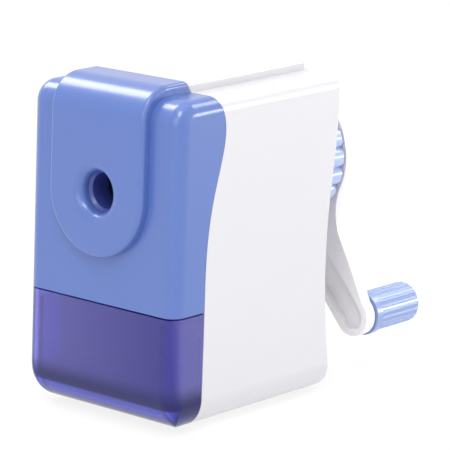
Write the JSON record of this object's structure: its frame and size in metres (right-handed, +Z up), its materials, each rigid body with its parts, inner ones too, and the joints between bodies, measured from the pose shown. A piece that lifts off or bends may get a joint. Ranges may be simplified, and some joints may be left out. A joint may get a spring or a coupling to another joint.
{
  "type": "crank pencil sharpener",
  "caption": "Tall hand-cranked pencil sharpener with a front pencil hole, a drawer for shavings and a rear crank beside a point-setting dial.",
  "frame": {"origin": "on the table, under the middle of the body between its sides", "axes": "+Z up, -Y out of the pencil hole at the front, +Y towards the crank at the rear, +X to the right seen from the front"},
  "size_m": [0.0626, 0.1189, 0.1043],
  "materials": {
    "white_shell": "gloss",
    "blue_shell": "gloss",
    "drawer_blue": "clear tinted",
    "dark_plastic": "moulded",
    "bronze": "sintered",
    "steel": "plated",
    "tool_steel": "ground",
    "zinc": "cast",
    "rubber": "moulded"
  },
  "bodies": {
    "housing": {"rear_housing": "white_shell", "front_cover": "blue_shell", "pencil_guide": "white_shell", "cutter_frame": "dark_plastic", "ring_gear": "dark_plastic", "rear_bearing": "bronze", "housing_screws": "steel", "frame_screws": "steel", "rubber_pad": "rubber", "dial_clip": "steel", "stop_spring": "steel"},
    "crank": {"cutter_carrier": "zinc", "crank_shaft": "steel", "cutter_arbor": "steel", "thrust_washer": "steel", "crank_arm": "white_shell", "hub_screw": "steel", "hub_washer": "steel", "knob_pin": "steel"},
    "cutter": {"helical_cutter": "tool_steel", "cutter_pinion": "steel"},
    "knob": {"crank_knob": "blue_shell"},
    "drawer": {"shavings_drawer": "drawer_blue"},
    "dial": {"point_dial": "blue_shell"},
    "sleeve": {"stop_sleeve": "dark_plastic"},
    "stop": {"stop_rod": "steel", "stop_collar": "steel", "stop_pin": "steel"}
  },
  "joints": [
    {"name": "crank_turn", "type": "hinge", "parent": "housing", "child": "crank", "pos_m": [0, 0.0305, 0.0707], "axis": [0, 1, 0], "continuous": true},
    {"name": "cutter_spin", "type": "hinge", "parent": "crank", "child": "cutter", "pos_m": [0, -0.0212, 0.0812], "axis": [0, 0.9893, -0.1461], "continuous": true},
    {"name": "knob_spin", "type": "hinge", "parent": "crank", "child": "knob", "pos_m": [0.02302, 0.0665, 0.01899], "axis": [0, 1, 0], "continuous": true},
    {"name": "drawer_slide", "type": "slide", "parent": "housing", "child": "drawer", "axis": [0, -1, 0], "range_m": [0, 0.052]},
    {"name": "dial_turn", "type": "hinge", "parent": "housing", "child": "dial", "pos_m": [0, 0.0441, 0.0707], "axis": [0, 1, 0], "range_deg": [0, 144]},
    {"name": "sleeve_slide", "type": "slide", "parent": "housing", "child": "sleeve", "axis": [0, -1, 0], "range_m": [0, 0.0016]},
    {"name": "stop_slide", "type": "slide", "parent": "crank", "child": "stop", "axis": [0, -1, 0], "range_m": [0, 0.0016], "deforming": ["stop_spring"]}
  ],
  "couplings": [
    {"joint": "cutter_spin", "follows": "crank_turn", "ratio": -2.9091},
    {"joint": "sleeve_slide", "follows": "dial_turn", "m_per_rad": 0.0006366},
    {"joint": "stop_slide", "follows": "dial_turn", "m_per_rad": 0.0006366}
  ]
}
